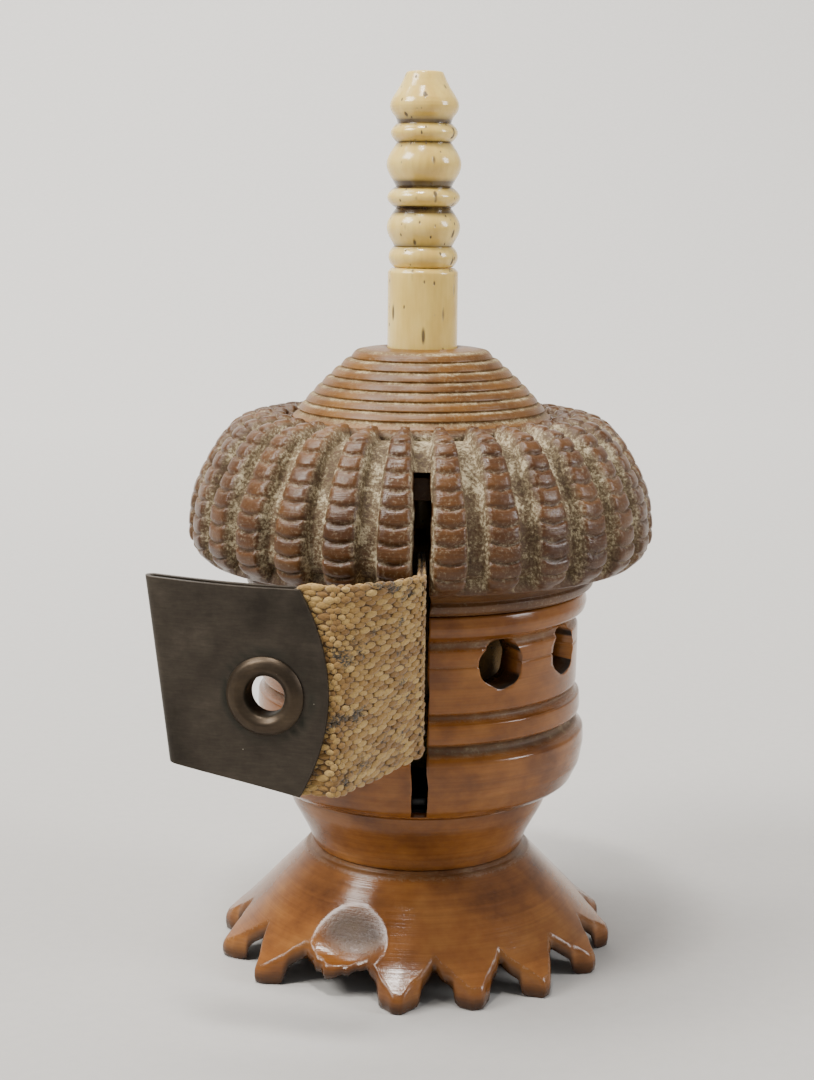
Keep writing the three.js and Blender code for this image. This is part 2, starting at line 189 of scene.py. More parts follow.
def lamp(name, place, aim, size, power, tint):
    data = bpy.data.lights.new(name, "AREA")
    data.shape = "RECTANGLE"
    data.size, data.size_y = size
    data.energy = power
    data.color = tint
    made = bpy.data.objects.new(name, data)
    bpy.context.collection.objects.link(made)
    made.location = axis + Vector(place)
    made.rotation_euler = (Vector(aim) - Vector(place)).to_track_quat("-Z", "Y").to_euler()
    return made


sweep_half = 1.2
sweep_front = -0.9
sweep_bend = 0.35
sweep_radius = 0.35
sweep_rise = 1.2
sweep_path = [(sweep_front, 0.0), (sweep_bend, 0.0)]
for step in range(1, 17):
    turn = math.pi / 2 * step / 16
    sweep_path.append((sweep_bend + sweep_radius * math.sin(turn), sweep_radius * (1 - math.cos(turn))))
sweep_path.append((sweep_bend + sweep_radius, sweep_rise))
sweep_points = [(side, y, z) for y, z in sweep_path for side in (-sweep_half, sweep_half)]
sweep_faces = [(2 * i, 2 * i + 1, 2 * i + 3, 2 * i + 2) for i in range(len(sweep_path) - 1)]
sweep = add_mesh("card_sweep", sweep_points, sweep_faces)
card, tree, shader = material("pale_card")
tone = mixed(tree, noise(tree, (900, 900, 900), 2.0, 0.5), (0.90, 0.895, 0.89), (0.98, 0.975, 0.97))
# Painted shade: the card's colour is darker towards the camera, standing in for the falloff of the
# lamps' light.
place = node(tree, "ShaderNodeTexCoord").outputs["Object"]
depth = Value(node(tree, "ShaderNodeSeparateXYZ", {0: place}).outputs["Y"]).spread(-0.09, 0.35)
painted_shade = ramp(tree, depth, [(0.0, (0.39, 0.375, 0.355)), (1.0, (0.80, 0.78, 0.75))])
feed(shader, {"Base Color": mixed(tree, 1.0, painted_shade, tone, "MULTIPLY"), "Roughness": 0.8})
sweep.data.materials.append(card)

world = bpy.data.worlds.new("studio_air")
world.use_nodes = True
world.node_tree.nodes["Background"].inputs["Color"].default_value = (0.96, 0.98, 1.0, 1)
world.node_tree.nodes["Background"].inputs["Strength"].default_value = 0.42
bpy.context.scene.world = world
lamp("left_window", (-0.32, -0.16, 0.36), (0, 0, 0.03), (0.20, 0.18), 2.8, (1.0, 0.985, 0.95))
lamp("right_window", (0.40, -0.12, 0.22), (0, 0, 0.03), (0.12, 0.20), 1.35, (0.97, 0.98, 1.0))
lamp("ceiling_light", (-0.036, -0.080, 0.35), (0, -0.010, 0.01), (0.06, 0.032), 0.75, (1.0, 0.97, 0.93))
lamp("wall_light", (-0.22, 0.12, 0.75), (-0.14, 0.75, 0.25), (0.6, 0.3), 9.5, (1.0, 0.98, 0.95))


# --------------------------------------------------------------------
# Foot: a cone of pale nut, hollow underneath, with sixteen teeth filed into its rim and
# one tooth chipped long ago. It stands on the tooth tips and its spigot enters the cup.
# --------------------------------------------------------------------
def mesh_from_grid(name, grid, closed, thin=False):
    """Quads over rows of points that each go once round; closed joins the last row to the first.
    Otherwise each end is closed by a fan, or by a ladder of quads where the section is thin."""
    rows, around = grid.shape[:2]
    index = np.arange(rows * around).reshape(rows, around)
    faces = []
    for row in range(rows if closed else rows - 1):
        low = index[row]
        high = index[(row + 1) % rows]
        ahead, behind = np.roll(low, -1), np.roll(high, -1)
        faces += np.stack([low, ahead, behind, high], 1).tolist()
    points = grid.reshape(-1, 3)
    if thin:
        for line, way in ((index[0], 1), (index[-1], -1)):
            for i in range(around // 2 - 1):
                rung = [line[i], line[-1 - i], line[-2 - i], line[i + 1]]
                faces.append([int(v) for v in rung[::way]])
    elif not closed:
        middles = [grid[0].mean(0), grid[-1].mean(0)]
        points = np.vstack([points, middles])
        start, end = rows * around, rows * around + 1
        faces += [(start, int(b), int(a)) for a, b in zip(index[0], np.roll(index[0], -1))]
        faces += [(end, int(a), int(b)) for a, b in zip(index[-1], np.roll(index[-1], -1))]
    return add_mesh(name, points, faces)


def around_axis(radius, angle, height):
    """Points in metres from millimetres and angles measured from the front towards +X."""
    x = axis.x + radius * mm * np.sin(angle)
    y = axis.y - radius * mm * np.cos(angle)
    return np.stack([x, y, np.broadcast_to(height, x.shape) * mm], -1)


def keep_value(piece, name, values):
    """Stores one number for each vertex, for the piece's material to read."""
    layer = piece.data.attributes.new(name, "FLOAT", "POINT")
    padded = np.zeros(len(piece.data.vertices), np.float32)
    values = np.asarray(values, np.float32).reshape(-1)
    padded[: len(values)] = values
    layer.data.foreach_set("value", padded)


def kept(tree, name):
    """Reads a number kept on the piece's vertices."""
    return Value(node(tree, "ShaderNodeAttribute", attribute_name=name).outputs["Fac"])


def bumped(tree, height, strength, depth):
    """Relief finer than the mesh, its full depth given in millimetres."""
    return node(tree, "ShaderNodeBump", {"Height": height, "Strength": strength, "Distance": depth * mm})


def nut_finish(name, tones, dust, gloss, bump, haze):
    """Turned and polished nut shell: mottled colour, fine tool lines and dust in the hollows, with
    painted shade mixed in towards near black where the piece marks it.
    """
    made, tree, shader = material(name)
    deep, warm, pale = tones
    amount, grit_dark, grit_mid, grit_pale = dust
    mottle = noise(tree, (160, 160, 220), 5.0, 0.62)
    cloud = noise(tree, (55, 55, 70), 3.0, 0.5)
    lines = noise(tree, (60, 60, 5200), 3.0, 0.7)
    fleck = noise(tree, (4600, 4600, 4600), 3.0, 0.70)
    crust = noise(tree, (700, 700, 500), 4.0, 0.6)
    body = ramp(tree, mottle, [(0.30, deep), (0.52, warm), (0.74, pale)])
    body = mixed(tree, cloud * 0.55, body, deep)
    line_tone = ramp(tree, lines, [(0.35, (0.80, 0.78, 0.76)), (0.62, (1.06, 1.05, 1.04))])
    body = mixed(tree, 0.7, body, line_tone, "MULTIPLY")
    hollow = kept(tree, "dust")
    patchy = fleck * 0.9 + crust * 0.8 - 0.85
    film = (fleck - 0.50) * haze
    soiled = (hollow * amount + patchy * hollow).worked("ADD", film, clamp=True)
    grit = ramp(tree, crust * 0.55 + fleck * 0.45,
                [(0.40, grit_dark), (0.50, grit_mid), (0.61, grit_pale)])
    body = mixed(tree, soiled, body, grit)
    relief = lines * 0.6 + soiled * fleck
    # Painted shade: the colour goes towards near black where the piece's shade attribute is high.
    feed(shader, {
        "Base Color": mixed(tree, kept(tree, "painted_shade"), body, (0.006, 0.004, 0.003)),
        "Roughness": mottle * 0.16 + gloss + soiled * 0.60,
        "Normal": bumped(tree, relief, bump, 0.12),
        "Specular IOR Level": 0.36,
    })
    return made


pale_nut = nut_finish(
    "pale_nut", ((0.088, 0.029, 0.0080), (0.240, 0.088, 0.0190), (0.36, 0.152, 0.035)),
    (0.85, (0.020, 0.011, 0.006), (0.070, 0.044, 0.023), (0.17, 0.118, 0.066)), 0.06, 0.25, 0.35,
)

foot_low, foot_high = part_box("foot")
cup_low, cup_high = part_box("cup")
foot_floor = foot_low.z / mm
foot_top = cup_low.z / mm - 0.3
foot_rim = (foot_high.x - foot_low.x) / 2 / mm
tooth_count = 16
tooth_start = math.radians(-5.9)
tooth_depth = 2.5
foot_neck = 8.8
rim_height = 1.2
hollow_ceiling = 6.0
hollow_neck = 9.46
hollow_rim = 14.5
chip_angle = math.radians(-24)
chip_radius = 12.45
chip_half = (3.1, 1.9)
chip_depth = 1.0

tooth_random = np.random.RandomState(7)
tip_trim = 0.45 * tooth_random.rand(tooth_count)
tip_lean = 0.10 * (tooth_random.rand(tooth_count) - 0.5)
gullet_trim = 0.35 * (tooth_random.rand(tooth_count) - 0.5)

around = 512
angles = np.linspace(0, 2 * np.pi, around, endpoint=False)
turns = (angles - tooth_start) / (2 * np.pi) * tooth_count
tooth = np.round(turns).astype(int) % tooth_count
across = 2 * (turns - np.round(turns)) + tip_lean[tooth]
fall = np.clip((np.abs(across) - 0.10) / 0.84, 0, 1)
broken = np.where(tooth == (-1) % tooth_count, 1.3, 0.0)
tips = foot_rim - tip_trim[tooth] - broken
roots = foot_rim - tooth_depth + gullet_trim[tooth] * 0.3
rim = tips - (tips - roots) * fall ** 0.92
rim += 0.05 * np.sin(angles * 61) + 0.04 * np.sin(angles * 97 + 1.3)


def foot_upper(radius):
    """Height of the cone's outer face, which is a little flatter along the teeth."""
    run = (foot_rim - radius) / (foot_rim - foot_neck)
    share = np.interp(run, (-0.1, 0, 0.27, 0.33, 1), (-0.083, 0, 0.225, 0.282, 1))
    return rim_height + (foot_top - rim_height) * share


def foot_lower(radius):
    """Height of the hollow under the cone: a short lip, then a cone beside the outer one."""
    radii = (hollow_neck, hollow_rim - 0.2, hollow_rim, foot_rim)
    return foot_floor + np.interp(radius, radii, (hollow_ceiling, rim_height, 0, 0))


def foot_rows():
    for share in (0.5, 1.0):
        yield np.full(around, hollow_neck * share), np.full(around, foot_floor + hollow_ceiling)
    for step in range(1, 15):
        radius = hollow_neck + (rim - 0.22 - hollow_neck) * step / 14
        yield radius, foot_lower(radius)
    edge_low, edge_high = foot_lower(rim), foot_upper(rim)
    for share, inset in ((0.08, 0.08), (0.35, 0.0), (0.62, 0.0), (0.84, 0.05)):
        yield rim - inset, edge_low + (edge_high - edge_low) * share
    for step in range(0, 45):
        radius = rim - 0.24 - (rim - 0.24 - foot_neck) * step / 44
        yield radius, foot_upper(radius)
    for radius, lift in ((foot_neck - 0.2, 0.02), (8.45, 0.08), (8.38, 0.27), (3.0, 0.27)):
        yield np.full(around, radius), np.full(around, foot_top + lift)
    for height in (foot_top, foot_high.z / mm):
        yield np.full(around, 3.0), np.full(around, height)


foot_grid, foot_dust, foot_painted_shade = [], [], []
for radius, height in foot_rows():
    side = radius * np.sin(angles - chip_angle) / chip_half[0]
    out = (radius * np.cos(angles - chip_angle) - chip_radius) / chip_half[1]
    scoop = np.clip(1 - side ** 2 - out ** 2, 0, 1)
    upper = np.clip((height - foot_lower(radius)) / 1.2, 0, 1)
    sunk = chip_depth * scoop ** 1.3 * upper
    foot_grid.append(around_axis(radius, angles, height - sunk))
    edge = np.clip(1 - np.abs(rim - 0.24 - radius) / 0.12, 0, 1) * (upper > 0.9) * 0.25
    neck_dust = np.clip((foot_neck + 0.35 - radius) / 0.35, 0, 1) * 0.5
    high_in_chip = np.clip((chip_radius + 0.7 - radius) / 1.2, 0, 1)
    chipped = 0.6 * np.clip(scoop * 1.8, 0, 1) * high_in_chip
    foot_dust.append(np.clip(chipped + edge + neck_dust, 0, 1))
    # Painted shade: darker on the underside and up the lower part of the tooth walls.
    shade_near_underside = np.clip(1.5 - (height - foot_lower(radius)) / 0.9, 0, 1) * 0.72
    # Painted shade: the foot grows darker towards its neck, under the cup and barrel.
    shade_towards_neck = 0.14 * np.clip((foot_rim - 2.0 - radius) / 5.0, 0, 1)
    # Painted shade: the upper part of the chip is darkened.
    shade_in_chip = 0.62 * np.clip(scoop * 2, 0, 1) * high_in_chip
    foot_painted_shade.append(np.maximum(shade_near_underside, np.maximum(shade_towards_neck, shade_in_chip)))
foot = mesh_from_grid("toothed_foot", np.array(foot_grid), closed=False)
keep_value(foot, "dust", foot_dust)
keep_value(foot, "painted_shade", foot_painted_shade)
foot.data.materials.append(pale_nut)
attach(foot, "case")
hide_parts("foot")


# --------------------------------------------------------------------
# Cup: a small turned bowl of the same nut, glued on the foot's spigot. It closes the
# barrel from below and has the hole in which the spindle's pivot turns.
# --------------------------------------------------------------------
def softened(points, radius=0.12, spacing=0.35):
    """Rounds the corners of an outline a little and divides its long runs."""
    points = [np.array(p, float) for p in points]
    made = [points[0]]
    for before, corner, after in zip(points, points[1:], points[2:]):
        into, out = corner - before, after - corner
        reach = min(radius, 0.4 * np.linalg.norm(into), 0.4 * np.linalg.norm(out))
        start = corner - into / (np.linalg.norm(into) + 1e-9) * reach
        end = corner + out / (np.linalg.norm(out) + 1e-9) * reach
        for share in (0, 0.33, 0.67, 1):
            made.append((1 - share) ** 2 * start + 2 * share * (1 - share) * corner + share ** 2 * end)
    made.append(points[-1])
    divided = [made[0]]
    for before, after in zip(made, made[1:]):
        pieces = max(1, int(np.linalg.norm(after - before) / spacing))
        divided += [before + (after - before) * (i + 1) / pieces for i in range(pieces)]
    return np.array(divided)


def hollows(outline):
    """How far each point of an outline lies in a groove, from 0 to 1."""
    reach, full = 1.3, 0.45
    radius, height = outline[:, 0], outline[:, 1]
    deep = np.zeros(len(outline))
    for i in range(len(outline)):
        near = np.abs(height - height[i]) < reach
        above = radius[near & (height >= height[i])].max()
        below = radius[near & (height <= height[i])].max()
        deep[i] = min(above, below) - radius[i]
    return np.clip(deep / full, 0, 1)


def turned(name, outline, segments, closed=True, wobble=0.0, dust=None):
    """Turns an outline of (radius, height) points, given anticlockwise, round the axis."""
    outline = np.array(outline)
    angles = np.linspace(0, 2 * np.pi, segments, endpoint=False)
    sway = 1 + wobble * np.sin(2 * angles + 0.7)
    grid = np.array([around_axis(r * sway, angles, z) for r, z in outline])
    piece = mesh_from_grid(name, grid, closed)
    keep_value(piece, "dust", np.repeat(hollows(outline) if dust is None else dust, segments))
    return piece


cup_bottom, cup_floor = cup_low.z / mm, cup_high.z / mm
barrel_low, barrel_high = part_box("barrel")
barrel_bottom = barrel_low.z / mm
cup_top = barrel_bottom - 0.04
bore_radius = 9.6
joint_radius = 10.4
socket_radius, socket_top = 3.3, foot_high.z / mm + 0.3
pivot_hole = 1.46
cup_outline = softened([
    (0.02, socket_top), (socket_radius, socket_top), (socket_radius, cup_bottom),
    (8.2, cup_bottom), (8.32, cup_bottom + 0.15), (8.62, cup_bottom + 1.0), (8.95, cup_bottom + 1.7),
    (9.45, cup_bottom + 2.6), (9.95, cup_bottom + 3.5),
    (joint_radius, cup_top - 0.12), (joint_radius - 0.1, cup_top + 0.02),
    (bore_radius - 0.3, cup_top), (bore_radius - 0.3, cup_floor), (pivot_hole, cup_floor),
    (pivot_hole, socket_top + 1.2), (0.02, socket_top + 1.2),
], 0.3)
cup = turned("turned_cup", cup_outline, 160, closed=False)
# Painted shade: the cup's faces inside the barrel, above its top, are painted near black.
keep_value(cup, "painted_shade", np.repeat(cup_outline[:, 1] > cup_top + 0.05, 160))
cup.data.materials.append(pale_nut)
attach(cup, "case")
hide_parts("cup")


# --------------------------------------------------------------------
# Barrel: the drum round the wound tape, turned from nut with a band and a ridge, sawn
# through in front by the kerf, and drilled with a ring of ten holes on a scribed line.
# --------------------------------------------------------------------
def finished(piece):
    """Makes the modifiers' result the piece's own mesh."""
    graph = bpy.context.evaluated_depsgraph_get()
    result = bpy.data.meshes.new_from_object(piece.evaluated_get(graph))
    piece.modifiers.clear()
    piece.data = result
    return piece


def carved(piece, cutters):
    """Cuts each cutter out of the piece and deletes the cutter."""
    for cutter in cutters:
        cut = piece.modifiers.new("cut", "BOOLEAN")
        cut.operation = "DIFFERENCE"
        cut.solver = "EXACT"
        cut.object = cutter
    finished(piece)
    for cutter in cutters:
        bpy.data.objects.remove(cutter)
    return piece


def saw_cut(name, bottom, top, depth, reach):
    """A thin upright block at the front whose two long faces waver as a hand saw does."""
    rows, half = 40, 0.6
    heights = np.linspace(bottom, top, rows)
    drift = 0.05 * np.sin(heights * 0.9) + 0.03 * np.sin(heights * 2.7 + 1)
    left, right = drift - half, drift + half + 0.03 * np.sin(heights * 1.7)
    corners = [(left, -reach), (right, -reach), (right, -depth), (left, -depth)]
    grid = np.stack([
        np.stack([axis.x + x * mm, np.full(rows, axis.y + y * mm), heights * mm], -1)
        for x, y in corners
    ], 1)
    return mesh_from_grid(name, grid, closed=False)


def hole_cutter(angle, radius, height):
    """A drill's cylinder with a slight flare where it breaks the outer face."""
    outline = [(radius, bore_radius - 2), (radius, barrel_wall - 0.12),
               (radius + 0.16, barrel_wall + 0.06), (radius + 0.5, barrel_wall + 1)]
    angles = np.linspace(0, 2 * np.pi, 40, endpoint=False)
    outward = np.array([math.sin(angle), -math.cos(angle), 0])
    across = np.array([math.cos(angle), math.sin(angle), 0])
    grid = []
    for r, out in outline:
        rough = r * (1 + 0.035 * np.sin(3 * angles + 9 * angle) + 0.025 * np.sin(7 * angles + angle))
        spokes = np.outer(rough * np.cos(angles), across) + np.outer(rough * np.sin(angles), (0, 0, 1))
        ring = outward * out + spokes
        grid.append((ring + (0, 0, height)) * mm + np.array(axis))
    return mesh_from_grid("drill", np.array(grid), closed=False)


barrel_wall = 12.4
barrel_top = barrel_high.z / mm
shoulder = barrel_top - 8.0
spigot_radius = 11.6
tape_low, tape_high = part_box("tape_coil")
tape_bottom, tape_top = tape_low.z / mm, tape_high.z / mm
hole_height = tape_bottom + 6.5
kerf_top = shoulder + 10.8
# Each moulding as (out from the wall, up from the level it is measured from).
band_and_ridge = [
    (-0.3, 0.85), (0.35, 2.2), (0.62, 3.8), (0.58, 4.9), (0.2, 5.15), (-0.35, 5.5), (-0.4, 5.85),
    (0.22, 6.25), (0.28, 6.6), (0.22, 7.65), (-0.05, 7.75), (-0.38, 8.05), (-0.35, 8.25), (-0.05, 8.55),
]
scribed_line = [(0, -0.12), (-0.1, 0), (0, 0.12)]
shoulder_ring = [
    (0, -2.75), (-0.35, -2.45), (-0.3, -2.1), (0.5, -1.5), (0.66, -0.9), (0.5, -0.1), (0.3, 0),
]
levels = ((barrel_bottom, band_and_ridge), (hole_height, scribed_line), (shoulder, shoulder_ring))
mouldings = [(barrel_wall + out, level + up) for level, profile in levels for out, up in profile]
barrel_outline = softened([
    (bore_radius, barrel_top), (bore_radius, barrel_bottom), (joint_radius, barrel_bottom),
    (joint_radius + 0.9, barrel_bottom + 0.25), *mouldings,
    (spigot_radius, shoulder), (spigot_radius, barrel_top),
], 0.16, 0.3)
barrel = turned("slotted_barrel", barrel_outline, 220)
first_hole = math.radians(28)
hole_count = 10
hole_spacing = (2 * math.pi - 2 * first_hole) / (hole_count - 1)
hole_random = np.random.RandomState(3)
drills = []
for i in range(hole_count):
    angle = first_hole + i * hole_spacing + 0.01 * hole_random.randn()
    radius = 1.84 + 0.06 * hole_random.rand()
    drills.append(hole_cutter(angle, radius, hole_height + 0.1 * hole_random.randn()))
# Painted shade: the bore and the spigot under the skirt are painted nearly black, so the kerf looks dark
# inside.
painted_shade_inside = (barrel_outline[:, 0] < bore_radius + 0.1) | (barrel_outline[:, 1] > shoulder + 0.1)
keep_value(barrel, "painted_shade", np.repeat(painted_shade_inside * 0.9, 220))
carved(barrel, [saw_cut("saw", barrel_bottom + 0.45, barrel_top + 1, 3, 16), *drills])
barrel.data.materials.append(pale_nut)
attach(barrel, "case")
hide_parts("barrel")


# --------------------------------------------------------------------
# Skirt: a drooping collar of darker nut. Rings are turned in it first, then it is fluted
# into twenty-eight ribs, which leaves each rib a row of small polished cushions.
# --------------------------------------------------------------------
def shape_tree(name, inputs):
    """A geometry tree: returns it, its inputs by name and its output node."""
    tree = bpy.data.node_groups.new(name, "GeometryNodeTree")
    for label, kind in {"Geometry": "Geometry", **inputs}.items():
        tree.interface.new_socket(label, in_out="INPUT", socket_type="NodeSocket" + kind)
    tree.interface.new_socket("Geometry", in_out="OUTPUT", socket_type="NodeSocketGeometry")
    given = {socket.name: Value(socket) for socket in node(tree, "NodeGroupInput").outputs}
    return tree, given, node(tree, "NodeGroupOutput")


def close_tree(tree, geometry, surface, output):
    """Ends a tree: instances made real, then the material set."""
    real = node(tree, "GeometryNodeRealizeInstances", {"Geometry": geometry})
    dressed = node(tree, "GeometryNodeSetMaterial", {"Geometry": real, "Material": surface})
    feed(output, {"Geometry": dressed})


def run_tree(piece, tree, values):
    """Runs a tree on a piece with its inputs set by name, and keeps the plain mesh."""
    step = piece.modifiers.new("shape", "NODES")
    step.node_group = tree
    for socket in tree.interface.items_tree:
        if socket.in_out == "INPUT" and socket.name in values:
            step[socket.identifier] = values[socket.name]
    return finished(piece)


dark_nut = nut_finish(
    "dark_nut", ((0.040, 0.014, 0.0045), (0.100, 0.040, 0.0110), (0.18, 0.080, 0.022)),
    (0.95, (0.065, 0.044, 0.023), (0.17, 0.126, 0.070), (0.50, 0.42, 0.27)), 0.22, 0.5, 1.1,
)

skirt_low, skirt_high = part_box("skirt")
skirt_bottom, skirt_top = skirt_low.z / mm, skirt_high.z / mm
skirt_rim = 17.97
dome_radius = 9.7
rib_count = 28
ring_count = 12
skirt_ledge = barrel_top + 2.3
skirt_bore = 11.9
skirt_throat = dome_radius + 0.3

# The ribbed face from the crest by the dome down to the lip, as a smooth curve.
shoulder_curve = [
    (4.9, 0.25), (3.62, 0.78), (2.42, 2.03), (1.64, 3.27), (0.97, 4.53), (0.45, 5.78), (0.16, 7.04),
]
lip_curve = [(0, 4.4), (0.10, 3.6), (0.42, 2.9), (0.95, 2.35)]
face_points = np.array([
    (dome_radius + 0.55, skirt_top - 0.15), (dome_radius + 1.4, skirt_top),
    *[(skirt_rim - inward, skirt_top - down) for inward, down in shoulder_curve],
    *[(skirt_rim - inward, skirt_bottom + up) for inward, up in lip_curve],
])


def smooth_curve(points, count):
    """Points evenly spaced along a smooth curve through the given ones."""
    ends = [2 * points[0] - points[1], *points, 2 * points[-1] - points[-2]]
    dense = []
    for a, b, c, d in zip(ends, ends[1:], ends[2:], ends[3:]):
        for t in np.linspace(0, 1, 24, endpoint=False):
            dense.append(0.5 * (2 * b + (c - a) * t + (2 * a - 5 * b + 4 * c - d) * t ** 2
                                + (3 * b - a - 3 * c + d) * t ** 3))
    dense = np.array([*dense, points[-1]])
    length = np.concatenate([[0], np.cumsum(np.linalg.norm(np.diff(dense, axis=0), axis=1))])
    places = np.linspace(0, length[-1], count)
    return np.stack([np.interp(places, length, dense[:, k]) for k in (0, 1)], -1)


face = smooth_curve(face_points, 12 * ring_count + 1)[::-1]
under = softened([
    (skirt_bore, skirt_ledge), (skirt_bore, skirt_bottom - 0.2),
    (barrel_wall + 0.65, skirt_bottom - 0.2),
    (barrel_wall + 1.1, skirt_bottom + 0.1), (barrel_wall + 1.22, skirt_bottom + 0.6),
    (barrel_wall + 1.0, skirt_bottom + 0.85), (barrel_wall + 1.9, skirt_bottom + 1.35),
    (skirt_rim - 1.35, skirt_bottom + 2.02), tuple(face[0]),
], 0.1, 0.5)[:-1]
inside = softened([
    tuple(face[-1]), (skirt_throat, skirt_top - 0.5), (skirt_throat, skirt_ledge),
], 0.1, 0.6)[1:]
skirt_outline = np.vstack([under, face, inside])
rings_along = np.concatenate([np.full(len(under), -1.0), np.linspace(ring_count, 0, len(face)),
                              np.full(len(inside), -1.0)])
# More points lie on the flanks of a rib than along its top or in the groove.
rib_shares = [0, 0.06, 0.11, 0.15, 0.18, 0.22, 0.28, 0.38, 0.5, 0.62, 0.72, 0.78, 0.82, 0.85, 0.89, 0.94]
rib_places = np.add.outer(np.arange(rib_count), rib_shares).reshape(-1)
skirt_around = len(rib_places)
skirt_angles = rib_places / rib_count * 2 * np.pi
skirt_grid = np.array([around_axis(np.full(skirt_around, r), skirt_angles, z) for r, z in skirt_outline])
skirt = mesh_from_grid("ribbed_skirt", skirt_grid, closed=True)
keep_value(skirt, "ring_place", np.repeat(rings_along, skirt_around))
turn_of_rib = skirt_angles / (2 * np.pi) * rib_count
from_groove = np.abs(turn_of_rib - np.round(turn_of_rib))
keep_value(skirt, "from_groove", np.tile(from_groove, len(skirt_outline)))
from_axis = skirt_outline[:, 0] * 2 * np.pi / rib_count
keep_value(skirt, "rib_pitch", np.repeat(from_axis, skirt_around))

tree, given, output = shape_tree("ribs_and_rings", {
    "Groove Width": "Float", "Groove Depth": "Float", "Ring Depth": "Float", "Nut": "Material",
})


def stored(tree, name):
    """Reads one of the numbers kept on the mesh."""
    made = node(tree, "GeometryNodeInputNamedAttribute", {"Name": name}, data_type="FLOAT")
    return Value(made.outputs["Attribute"])


ring_place = stored(tree, "ring_place")
ribbed = ring_place.worked("GREATER_THAN", -0.5)
wave = Value(node(tree, "ShaderNodeTexNoise", {"Scale": 450.0, "Detail": 2.0}).outputs["Fac"])
sideways = stored(tree, "from_groove") * stored(tree, "rib_pitch") + (wave - 0.5) * 0.22
from_middle = sideways.worked("DIVIDE", given["Groove Width"] * 0.5)
flank = 1.0 - from_middle.spread(0.62, 1.02, "SMOOTHSTEP")
sagging = sideways.spread(0.7, 2.0, "SMOOTHSTEP") * -0.22
ring_turn = (ring_place + sagging).worked("FRACT")
notch = ((ring_turn - 0.5).worked("ABSOLUTE") * 2.0) ** 5.5
crown = (1.0 - sideways.spread(0.8, 1.6, "SMOOTHSTEP")) ** 2.0
sunk = (notch * given["Ring Depth"]).worked("MAXIMUM", flank * given["Groove Depth"])
sunk = (sunk + crown * 0.07) * ribbed * -mm
normal = node(tree, "GeometryNodeInputNormal")
push = node(tree, "ShaderNodeVectorMath", {0: normal, "Scale": sunk}, operation="SCALE")
moved = node(tree, "GeometryNodeSetPosition", {"Geometry": given["Geometry"], "Offset": push})
height_now = node(tree, "ShaderNodeSeparateXYZ", {0: node(tree, "GeometryNodeInputPosition")})
high_up = Value(height_now.outputs["Z"]).spread(0.031, 0.042, "SMOOTHSTEP")
rib_edge = flank * (1.0 - flank)
soil = flank * (high_up * 0.55 + 0.42) + notch ** 2.0 * 0.65
soil = soil.worked("ADD", rib_edge * 2.6, clamp=True) * ribbed
dusted = node(tree, "GeometryNodeStoreNamedAttribute",
              {"Geometry": moved, "Name": "dust", "Value": soil}, data_type="FLOAT", domain="POINT")
close_tree(tree, dusted, given["Nut"], output)
run_tree(skirt, tree, {"Groove Width": 1.80, "Groove Depth": 1.00, "Ring Depth": 0.34, "Nut": dark_nut})
carved(skirt, [saw_cut("saw", skirt_bottom - 1, kerf_top, 3, 20)])
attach(skirt, "case")
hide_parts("skirt")


# --------------------------------------------------------------------
# Dome: the stepped cap that closes the case and carries the spindle. Its flange is held
# between the barrel's spigot and the skirt, and it is hollow underneath.
# --------------------------------------------------------------------
dome_top = dome_high.z / mm
dome_bottom = dome_low.z / mm
flange_top = dome_bottom + 1.7
step_count = 7
dome_top_radius = 4.95
step_radius = dome_radius - 0.2
dome_bore = 2.76
hollow_top = dome_top - 4.5
riser = (dome_top - 0.25 - skirt_top) / step_count
dome_points = [
    (dome_bore, dome_top - 0.05), (dome_bore, hollow_top), (dome_radius - 1.3, hollow_top - 1.5),
    (dome_radius - 1.3, dome_bottom), (spigot_radius, dome_bottom), (spigot_radius, flange_top),
    (skirt_throat - 0.03, flange_top), (skirt_throat - 0.03, skirt_top - 0.4),
]
for step in range(step_count):
    rise = (step + 1) / step_count
    radius = step_radius - (step_radius - dome_top_radius) * (0.75 * rise + 0.25 * rise ** 2)
    foot_of_step = skirt_top + step * riser
    dome_points += [(radius + 0.38, foot_of_step + 0.03), (radius + 0.50, foot_of_step + 0.16),
                    (radius + 0.24, foot_of_step + riser - 0.14), (radius + 0.04, foot_of_step + riser)]
dome_points += [(dome_top_radius - 0.6, dome_top - 0.12), (dome_bore + 0.5, dome_top)]
dome_outline = softened(dome_points, 0.09, 0.3)
step_foot = ((dome_outline[:, 1] - skirt_top) / riser) % 1.0
on_steps = (dome_outline[:, 1] > skirt_top - 0.2) & (dome_outline[:, 1] < dome_top - 0.1)
step_dust = np.clip(1 - np.abs(step_foot - np.round(step_foot)) / 0.22, 0, 1) * on_steps
dome = turned("stepped_dome", dome_outline, 256, dust=0.85 * step_dust)
dome_nut = nut_finish(
    "dome_nut", ((0.085, 0.031, 0.0050), (0.190, 0.080, 0.0120), (0.29, 0.138, 0.024)),
    (0.8, (0.06, 0.040, 0.018), (0.22, 0.165, 0.080), (0.50, 0.41, 0.24)), 0.27, 0.5, 0.8,
)
dome.data.materials.append(dome_nut)
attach(dome, "case")
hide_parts("dome_cap")


